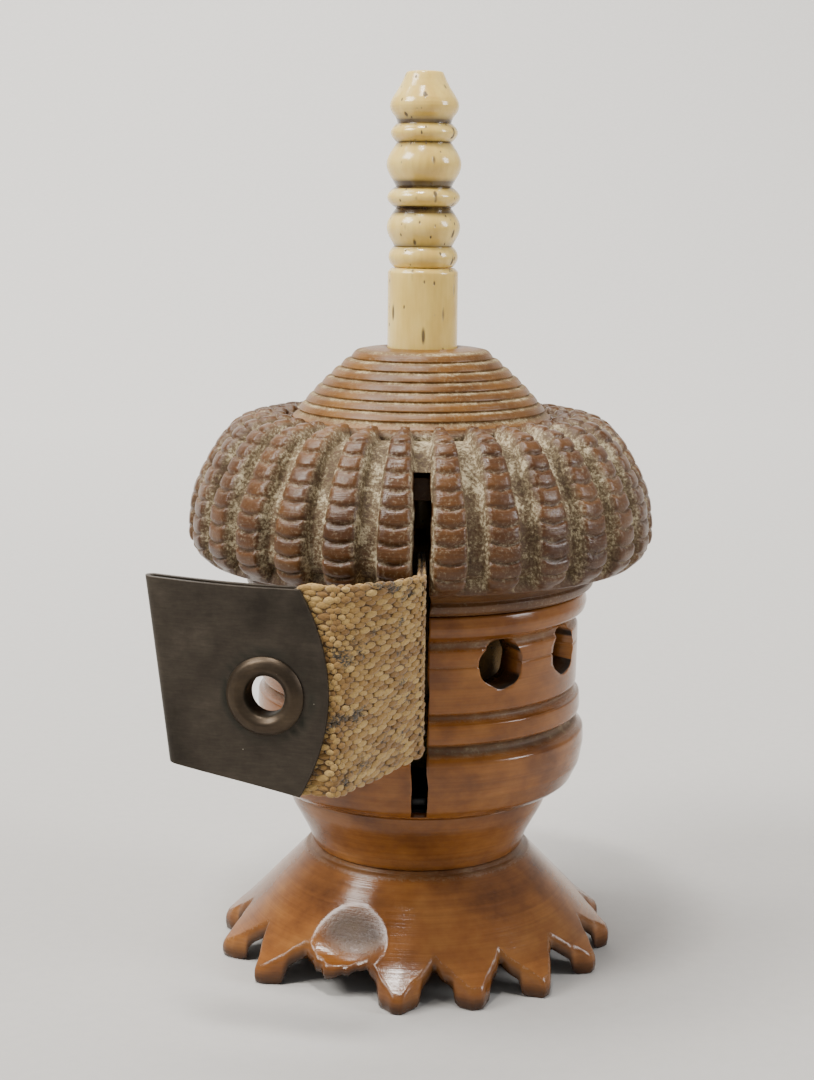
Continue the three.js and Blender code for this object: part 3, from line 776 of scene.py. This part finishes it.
# --------------------------------------------------------------------
# Arbor: the lower part of the bone spindle. The plain shank shows above the dome; inside
# are a collar, the slit core that the tape is wound on, and the pivot.
# --------------------------------------------------------------------
def bone_finish(name):
    """Polished old bone: cream, with fine dark pores along the grain and grime in the grooves."""
    made, tree, shader = material(name)
    cloud = noise(tree, (240, 240, 120), 4.0, 0.55)
    grain = noise(tree, (2600, 2600, 220), 3.0, 0.6)
    body = ramp(tree, cloud, [(0.30, (0.62, 0.40, 0.090)), (0.50, (0.76, 0.54, 0.145)),
                              (0.72, (0.86, 0.67, 0.24))])
    streak = ramp(tree, grain, [(0.30, (0.86, 0.82, 0.74)), (0.60, (1.0, 1.0, 1.0))])
    body = mixed(tree, 0.6, body, streak, "MULTIPLY")
    place = node(tree, "ShaderNodeTexCoord").outputs["Object"]
    spots = []
    for stretch, share in (((1400, 1400, 330), 0.70), ((2700, 2700, 1300), 0.74)):
        mapped = node(tree, "ShaderNodeMapping", {"Vector": place, "Scale": stretch})
        cells = node(tree, "ShaderNodeTexVoronoi", {"Vector": mapped, "Scale": 1.0})
        lot = Value(node(tree, "ShaderNodeSeparateColor", {"Color": cells.outputs["Color"]}).outputs[0])
        round_spot = Value(cells.outputs["Distance"]).spread(0.26, 0.143)
        spots.append(round_spot * lot.worked("GREATER_THAN", share))
    pores = spots[0].worked("MAXIMUM", spots[1])
    body = mixed(tree, pores * 0.88, body, (0.055, 0.035, 0.018))
    grime = kept(tree, "dust") ** 3.5 * (cloud * 0.9 + 0.5)
    relief = grain * 0.25 - pores
    feed(shader, {
        "Base Color": mixed(tree, grime, body, (0.050, 0.026, 0.009)),
        "Roughness": pores * 0.5 + (cloud * 0.16 + 0.12),
        "Normal": bumped(tree, relief, 0.45, 0.10),
        "Subsurface Weight": 0.12,
        "Subsurface Radius": (0.0012, 0.0008, 0.0004),
        "Subsurface Scale": 1.0,
        "Coat Weight": 0.35,
        "Coat Roughness": 0.12,
    })
    return made


bone = bone_finish("old_bone")
arbor_low, arbor_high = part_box("arbor")
pivot_bottom, shank_top = arbor_low.z / mm, arbor_high.z / mm
core_bottom = cup_floor + 0.6
collar_top = hollow_top - 1.8
shank_radius, core_radius, collar_radius, pivot_radius = 2.69, 2.3, 4.2, 1.2
tenon_hole, tenon_floor = 1.4, shank_top - 4.3
arbor_outline = softened([
    (0.02, pivot_bottom), (pivot_radius, pivot_bottom), (pivot_radius, core_bottom),
    (core_radius, core_bottom), (core_radius, collar_top - 1.8), (collar_radius, collar_top - 1.8),
    (collar_radius, collar_top), (shank_radius, collar_top), (shank_radius, shank_top - 0.3),
    (shank_radius - 0.3, shank_top), (tenon_hole, shank_top), (tenon_hole, tenon_floor),
    (0.02, tenon_floor),
], 0.12, 0.4)
arbor = turned("winding_arbor", arbor_outline, 96, closed=False)
slit_half, slit_reach = 0.4, 5.0
slit_points = [
    axis + Vector((x * slit_half, y * slit_reach, z)) * mm
    for z in (tape_bottom - 0.4, tape_top + 0.4) for y in (-1, 1) for x in (-1, 1)
]
slit_faces = [(0, 2, 3, 1), (4, 5, 7, 6), (0, 1, 5, 4), (2, 6, 7, 3), (0, 4, 6, 2), (1, 3, 7, 5)]
carved(arbor, [add_mesh("slit", slit_points, slit_faces, smooth=False)])
arbor.data.materials.append(bone)
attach(arbor, "spindle")
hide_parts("arbor")


# --------------------------------------------------------------------
# Finial: the bone handle that is turned between finger and thumb to wind the tape in.
# A row of round beads and flat rings with tight dirty grooves, on a tenon in the shank.
# --------------------------------------------------------------------
finial_low, finial_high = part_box("finial")
finial_base, finial_tip = shank_top + 0.03, finial_high.z / mm
# Each swelling: how tall it is, its radius, the groove's radius over it, and how pointed
# its side is.
swellings = [
    (1.58, 2.66, 2.22, 0.75), (2.85, 2.80, 2.12, 1.15), (1.62, 2.78, 2.13, 0.95),
    (3.28, 2.84, 2.08, 1.20), (1.40, 2.54, 2.06, 0.95),
]
tenon_radius, groove_start = 1.1, 2.2
tenon_end = finial_low.z / mm
finial_points = [(0.02, tenon_end), (tenon_radius, tenon_end), (tenon_radius, finial_base)]
height, groove = finial_base, groove_start
for tall, widest, next_groove, pointed in swellings:
    for share in np.linspace(0.0, 0.97, 21):
        narrow = groove + (next_groove - groove) * share
        swell = math.sin(math.pi * share) ** pointed
        finial_points.append((narrow + (widest - narrow) * swell, height + tall * share))
    height, groove = height + tall, next_groove
    finial_points.append((groove - 0.02, height))
left = finial_tip - height
top_knob = [
    (0.05, 2.08), (0.12, 2.20), (0.20, 2.45), (0.27, 2.58), (0.33, 2.62), (0.40, 2.58),
    (0.48, 2.45), (0.58, 2.20), (0.70, 1.90), (0.82, 1.66), (0.92, 1.50), (0.98, 1.38),
]
for share, radius in top_knob:
    finial_points.append((radius, height + left * share))
finial_points += [(1.15, finial_tip), (0.02, finial_tip)]
finial_outline = softened(finial_points, 0.05, 0.3)
finial = turned("beaded_finial", finial_outline, 128, closed=False, wobble=0.004)
finial.data.materials.append(bone)
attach(finial, "spindle")
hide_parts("finial")


# --------------------------------------------------------------------
# Wound tape: woven cotton, nearly half a metre in about thirteen turns, with its inner
# end through the slit in the core.
# --------------------------------------------------------------------
def cloth_finish(name):
    """Coarse ochre cotton: each float of yarn its own tone, with old dark stains, and the ground between
    the yarns in painted shade.
    """
    made, tree, shader = material(name)
    cloud = noise(tree, (330, 330, 330), 4.0, 0.6)
    blot = noise(tree, (430, 430, 520), 5.0, 0.72)
    fibre = noise(tree, (5200, 5200, 9000), 3.0, 0.7)
    # The lowest stop is the painted shade of the ground between the yarns; the others are each yarn's
    # own tone.
    body = ramp(tree, kept(tree, "yarn_tone_and_gap_shade"), [
        (0.0, (0.10, 0.052, 0.014)), (0.2, (0.19, 0.095, 0.021)),
        (0.6, (0.30, 0.170, 0.042)), (1.0, (0.46, 0.30, 0.10)),
    ])
    body = mixed(tree, cloud * 0.35, body, (0.20, 0.105, 0.030))
    fuzz = ramp(tree, fibre, [(0.3, (0.70, 0.68, 0.64)), (0.65, (1.15, 1.15, 1.12))])
    body = mixed(tree, 0.8, body, fuzz, "MULTIPLY")
    stain = blot.spread(0.565, 0.63) * fibre.spread(0.62, 0.50)
    feed(shader, {
        "Base Color": mixed(tree, stain * 0.88, body, (0.022, 0.022, 0.018)),
        "Roughness": 0.92,
        "Normal": bumped(tree, fibre, 0.8, 0.10),
        "Sheen Weight": 0.25,
        "Sheen Roughness": 0.5,
    })
    return made


cloth = cloth_finish("ochre_cotton")
tape_thick = 0.36
coil_radius = (tape_high.x - tape_low.x) / 2 / mm
wind_start = core_radius + 0.35
wound_turns = (coil_radius - 0.2 - wind_start) / (tape_thick + 0.03)
steps_a_turn = 56
wind_steps = int(wound_turns * steps_a_turn)


def strip(name, path, width_low, width_high, thick):
    """A closed strip standing on edge along a path of (x, y) points in millimetres."""
    path = np.array(path)
    along = np.gradient(path, axis=0)
    along /= np.linalg.norm(along, axis=1)[:, None]
    side = np.stack([along[:, 1], -along[:, 0]], -1) * thick / 2
    corners = []
    for way, height in ((-1, width_low), (1, width_low), (1, width_high), (-1, width_high)):
        flat = (path + side * way) * mm + np.array(axis)[:2]
        corners.append(np.column_stack([flat, np.full(len(path), height * mm)]))
    grid = np.stack(corners, 1)
    return mesh_from_grid(name, grid, closed=False)


wind_angle = np.linspace(0, wound_turns * 2 * math.pi, wind_steps)
wind_radius = wind_start + (coil_radius - 0.2 - wind_start) * wind_angle / wind_angle[-1]
# The tape is laid on so that drawing it out turns the spindle clockwise seen from above.
wind_turned = -wind_angle + 1.9
wind_path = np.stack([wind_radius * np.sin(wind_turned), -wind_radius * np.cos(wind_turned)], -1)
tongue = [wind_path[0] * share for share in (-0.9, -0.3, 0.3, 0.8)]
wind_path = np.vstack([tongue, wind_path])
coil = strip("wound_tape", wind_path, tape_bottom + 0.05, tape_top - 0.05, tape_thick)
keep_value(coil, "yarn_tone_and_gap_shade", np.full(len(coil.data.vertices), 0.45))
coil.data.materials.append(cloth)
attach(coil, "spindle")
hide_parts("tape_coil")


# --------------------------------------------------------------------
# Free tape: it passes straight out through the kerf, folds round the lip of the skirt and
# curls back into the metal tab. Plump yarns of a plain weave show on both faces.
# --------------------------------------------------------------------
tab_yaw = math.radians(14)
tab_along = np.array([-math.cos(tab_yaw), math.sin(tab_yaw)])
tab_out = np.array([-math.sin(tab_yaw), -math.cos(tab_yaw)])
tab_low, tab_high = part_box("end_tab")
tab_middle = (tab_low.z + tab_high.z) / 2 / mm
tab_half = (tab_high.z - tab_low.z) / 2 / mm
tab_length, tab_rise, tab_slant, tab_bulge = 11.2, 1.8, 1.7, 2.0
tab_entry = np.array([-6.1, -(skirt_rim + 4.7)])
tab_origin = tab_entry + tab_along * tab_bulge
eyelet_inset, eyelet_drop, eyelet_hole, eyelet_wall = 2.4, 0.4, 1.35, 0.3
tape_start = np.array([0.0, -(coil_radius + 0.7)])


def on_tab(u, forward, height):
    """A point in metres from places along the tab, out of its face, and up, in millimetres."""
    u, forward, height = np.broadcast_arrays(u, forward, height)
    plan = tab_origin + u[..., None] * tab_along + forward[..., None] * tab_out
    return np.concatenate([plan * mm + np.array(axis)[:2], (height[..., None] + tab_middle) * mm], -1)


def turned_across(outline, segments):
    """Rings of points round the eyelet's own axis, from an outline of (radius, forward)."""
    angles = np.linspace(0, 2 * np.pi, segments, endpoint=False)
    return np.array([
        on_tab(eyelet_inset + r * np.cos(angles), forward, r * np.sin(angles) - eyelet_drop)
        for r, forward in outline
    ])


def eyelet_punch():
    reach = eyelet_hole + eyelet_wall
    return mesh_from_grid("punch", turned_across([(reach, -3), (reach, 3)], 48), closed=False)


def tape_edge(bend_at, leaving, spacing):
    """One edge of the free tape seen from above, in millimetres from the spindle's axis."""
    bend = np.array([0.0, -bend_at])
    handles = [bend, bend + leaving, tab_entry - 1.2 * tab_along, tab_entry]
    straight = [tape_start + (bend - tape_start) * i / spacing[0] for i in range(spacing[0])]
    curve = []
    for t in np.linspace(0, 1, spacing[1], endpoint=False):
        weights = ((1 - t) ** 3, 3 * t * (1 - t) ** 2, 3 * t ** 2 * (1 - t), t ** 3)
        curve.append(sum(w * h for w, h in zip(weights, handles)))
    last = [tab_entry + tab_along * 10.4 * i / spacing[2] for i in range(spacing[2] + 1)]
    return np.array([*straight, *curve, *last])


weave_counts = (15, 21, 23)
low_edge = tape_edge(barrel_wall + 0.7, np.array([-2.2, -2.8]), weave_counts)
high_edge = tape_edge(skirt_rim + 0.7, np.array([-0.9, -1.9]), weave_counts)
row_count = 39
rows = np.linspace(0, 1, row_count)[:, None]
sheet_plan = low_edge[None] * (1 - rows[..., None]) + high_edge[None] * rows[..., None]
inside_tab = np.clip((sheet_plan[0] - tab_origin) @ tab_along, 0, None)
lower_limit = tape_bottom + 0.25 + tab_rise * inside_tab / (tab_length - tab_slant)
upper_limit = tape_top - 0.25 - 0.3 * np.clip(inside_tab, 0, 1)
heights = lower_limit + (upper_limit - lower_limit) * rows
along = np.gradient(sheet_plan, axis=1)
along /= np.linalg.norm(along, axis=2)[:, :, None]
face_out = np.stack([along[:, :, 1], -along[:, :, 0]], -1)
spine = np.concatenate([sheet_plan * mm + np.array(axis)[:2], heights[:, :, None] * mm], -1)

# The plain ground of the tape is a thin closed slab through the middle of the yarns.
ground_half = 0.15 * mm
out = np.concatenate([face_out, np.zeros((*face_out.shape[:2], 1))], -1)
front, back = spine + out * ground_half, spine - out * ground_half
ring = np.concatenate([front, back[::-1]], 0).transpose(1, 0, 2)
ground = mesh_from_grid("free_tape", ring, closed=False, thin=True)
carved(ground, [eyelet_punch()])
# Painted shade: the ground between the yarns takes the darkest tone of the cotton.
keep_value(ground, "yarn_tone_and_gap_shade", np.zeros(len(ground.data.vertices)))
ground.data.materials.append(cloth)

# One point for each crossing of the weave, with the way its yarn runs.
shown = slice(1, weave_counts[0] + weave_counts[1] + 5)
yarns = add_mesh("tape_yarns", spine[:, shown].reshape(-1, 3), [])
parity = np.add.outer(np.arange(row_count), np.arange(shown.start, shown.stop)) % 2
keep_value(yarns, "over", parity)
keep_value(yarns, "heading", np.arctan2(along[:, shown, 1], along[:, shown, 0]))
keep_value(yarns, "stride", np.linalg.norm(np.gradient(sheet_plan, axis=1), axis=2)[:, shown])

tree, given, output = shape_tree("plain_weave", {
    "Yarn Width": "Float", "Yarn Height": "Float", "Overlap": "Float", "Looseness": "Float",
    "Seed": "Int", "Cotton": "Material",
})


def chance(low, high):
    """A random number or vector for each point or instance of the weave."""
    kind = "FLOAT_VECTOR" if isinstance(low, tuple) else "FLOAT"
    made = node(tree, "FunctionNodeRandomValue", {"Min": low, "Max": high, "Seed": given["Seed"]},
                data_type=kind)
    return Value(made.outputs["Value"])


float_of_yarn = node(tree, "GeometryNodeMeshUVSphere", {"Segments": 8, "Rings": 6, "Radius": 0.5})
smooth_yarn = node(tree, "GeometryNodeSetShadeSmooth", {"Geometry": float_of_yarn})
heading = stored(tree, "heading")
size_change = chance(0.84, 1.16)
turned_to = node(tree, "ShaderNodeCombineXYZ", {"Y": chance(-0.20, 0.20), "Z": heading})
size = node(tree, "ShaderNodeCombineXYZ", {
    "X": stored(tree, "stride") * given["Overlap"] * mm * size_change,
    "Y": given["Yarn Height"],
    "Z": given["Yarn Width"] * size_change,
})
strayed = node(tree, "ShaderNodeVectorMath",
               {0: chance((-1, -1, -1), (1, 1, 1)), "Scale": given["Looseness"]}, operation="SCALE")
both_sides = node(tree, "GeometryNodeJoinGeometry")
for sign, over in ((1, 1.0), (-1, 0.0)):
    chosen = stored(tree, "over").worked("COMPARE", over, 0.1)
    lifted = node(tree, "ShaderNodeCombineXYZ", {
        "X": heading.worked("SINE") * (sign * ground_half),
        "Y": heading.worked("COSINE") * (-sign * ground_half),
    })
    shift = node(tree, "ShaderNodeVectorMath", {0: lifted, 1: strayed}, operation="ADD")
    placed = node(tree, "GeometryNodeSetPosition", {"Geometry": given["Geometry"], "Offset": shift})
    side = node(tree, "GeometryNodeInstanceOnPoints", {
        "Points": placed, "Selection": chosen, "Instance": smooth_yarn,
        "Rotation": turned_to, "Scale": size,
    })
    feed(both_sides, {0: side})
shaded = node(tree, "GeometryNodeStoreNamedAttribute", {
    "Geometry": both_sides, "Name": "yarn_tone_and_gap_shade", "Value": chance(0.2, 1.0),
}, data_type="FLOAT", domain="INSTANCE")
close_tree(tree, shaded, given["Cotton"], output)
run_tree(yarns, tree, {"Yarn Width": 0.48 * mm, "Yarn Height": 0.27 * mm,
                       "Overlap": 2.35, "Looseness": 0.06 * mm, "Seed": 11, "Cotton": cloth})
for piece in (ground, yarns):
    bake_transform(piece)
    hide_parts("tape_end")


# --------------------------------------------------------------------
# Tab: thin brass sheet gone dark brown, folded at its outer edge and pressed flat over
# the end of the tape, with a bowed inner edge and two holes for the eyelet.
# --------------------------------------------------------------------
def patina(name, deep, warm, worn, roughness):
    """Brass under a dark brown skin: cloudy tone, fine rubbing marks and small pale nicks."""
    made, tree, shader = material(name)
    cloud = noise(tree, (210, 210, 210), 5.0, 0.65)
    rubbed = noise(tree, (900, 900, 6500), 3.0, 0.7)
    nick = noise(tree, (1900, 1900, 1900), 2.0, 0.5)
    body = ramp(tree, cloud, [(0.32, deep), (0.55, warm), (0.80, worn)])
    rubbing = ramp(tree, rubbed, [(0.3, (0.6, 0.6, 0.6)), (0.7, (1.3, 1.28, 1.22))])
    body = mixed(tree, 0.35, body, rubbing, "MULTIPLY")
    crust = kept(tree, "dust") * cloud.spread(0.38, 0.62)
    body = mixed(tree, crust, body, (0.016, 0.019, 0.014))
    spark = nick.worked("GREATER_THAN", 0.79)
    relief = cloud * 0.6 + rubbed * 0.15 + crust * 0.5
    feed(shader, {
        "Base Color": mixed(tree, spark * 0.7, body, (0.42, 0.38, 0.30)),
        "Metallic": 0.75,
        "Roughness": crust * 0.4 + (cloud * 0.22 + roughness),
        "Normal": bumped(tree, relief, 0.3, 0.15),
    })
    return made


tab_metal = patina(
    "dark_brass", (0.030, 0.024, 0.018), (0.056, 0.045, 0.034), (0.092, 0.075, 0.056), 0.36,
)
sheet_thick, leaf_gap = 0.35, 0.6


def tab_section():
    """The folded sheet cut across: share of the way to the fold, and place through it."""
    outer, inner = leaf_gap / 2 + sheet_thick, leaf_gap / 2
    shares = np.linspace(0, 1, 22)
    front = [(s, outer, 0.0) for s in shares]
    fold = [(1.0, outer * math.cos(a), outer * math.sin(a)) for a in np.linspace(0.3, math.pi - 0.3, 8)]
    back = [(s, -outer, 0.0) for s in shares[::-1]]
    inside_back = [(s, -inner, 0.0) for s in shares]
    bend = [(1.0, -inner * math.cos(a), inner * math.sin(a)) for a in np.linspace(0.3, math.pi - 0.3, 8)]
    inside_front = [(s, inner, 0.0) for s in shares[::-1]]
    return front + fold + back + inside_back + bend + inside_front


section = tab_section()
tab_rows = []
fold_depth = leaf_gap / 2 + sheet_thick
for level in np.concatenate([[-1, -0.985], np.linspace(-0.95, 0.95, 27), [0.985, 1]]):
    top_share = (level + 1) / 2
    inner_edge = -tab_bulge * (1 - level ** 2)
    fold_edge = tab_length - tab_slant * (1 - top_share) - fold_depth
    points = []
    for share, through, beyond in section:
        u = inner_edge + (fold_edge - inner_edge) * share + beyond
        lower = -tab_half + tab_rise * max(u, 0) / (tab_length - tab_slant)
        upper = tab_half - 0.32 * (1 - min(max((u - 2) / 9.2, 0), 1) ** 2)
        height = lower + (upper - lower) * top_share
        bow = 0.08 * math.sin(u * 0.45 + 0.5) * level - 0.004 * max(u - 5, 0) ** 2
        points.append(on_tab(u, through + bow, height))
    tab_rows.append(np.array(points))
tab = mesh_from_grid("folded_tab", np.array(tab_rows), closed=False, thin=True)
carved(tab, [eyelet_punch()])
rounding = tab.modifiers.new("worn_edges", "BEVEL")
rounding.width = 0.07 * mm
rounding.segments = 2
rounding.angle_limit = math.radians(35)
finished(tab)
tab_points = np.array([v.co for v in tab.data.vertices])
eyelet_middle = on_tab(eyelet_inset, 0.0, -eyelet_drop)
from_eyelet = np.linalg.norm((tab_points - eyelet_middle)[:, [0, 2]], axis=1) / mm
keep_value(tab, "dust", np.clip(1 - np.abs(from_eyelet - 2.95) / 0.45, 0, 1))
tab.data.materials.append(tab_metal)
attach(tab, "tape")
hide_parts("end_tab")


# --------------------------------------------------------------------
# Eyelet: a short brass tube through tab and tape, its ends rolled over on both faces. The
# front flange is broad and domed; its mouth is dark with wear.
# --------------------------------------------------------------------
eyelet_metal = patina(
    "worn_eyelet", (0.032, 0.022, 0.014), (0.062, 0.043, 0.026), (0.12, 0.088, 0.055), 0.30,
)
leaf_face = leaf_gap / 2 + sheet_thick
flange_radius, back_radius = 2.75, 2.25
tube = eyelet_hole + eyelet_wall - 0.02
eyelet_outline = softened([
    (eyelet_hole, 0.0), (eyelet_hole, -leaf_face - 0.05), (eyelet_hole + 0.25, -leaf_face - 0.38),
    (back_radius - 0.35, -leaf_face - 0.34), (back_radius, -leaf_face - 0.10),
    (back_radius - 0.05, -leaf_face),
    (tube, -leaf_face), (tube, leaf_face), (flange_radius - 0.02, leaf_face),
    (flange_radius, leaf_face + 0.12), (flange_radius - 0.28, leaf_face + 0.40),
    (flange_radius - 0.75, leaf_face + 0.55), (eyelet_hole + 0.45, leaf_face + 0.48),
    (eyelet_hole + 0.10, leaf_face + 0.22), (eyelet_hole, leaf_face - 0.1), (eyelet_hole, 0.0),
], 0.14, 0.2)[:-1]
eyelet = mesh_from_grid("rolled_eyelet", turned_across(eyelet_outline, 72), closed=True)
keep_value(eyelet, "dust", np.repeat(0.8 * (eyelet_outline[:, 0] < eyelet_hole + 0.12), 72))
eyelet.data.materials.append(eyelet_metal)
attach(eyelet, "tape")
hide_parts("eyelet")
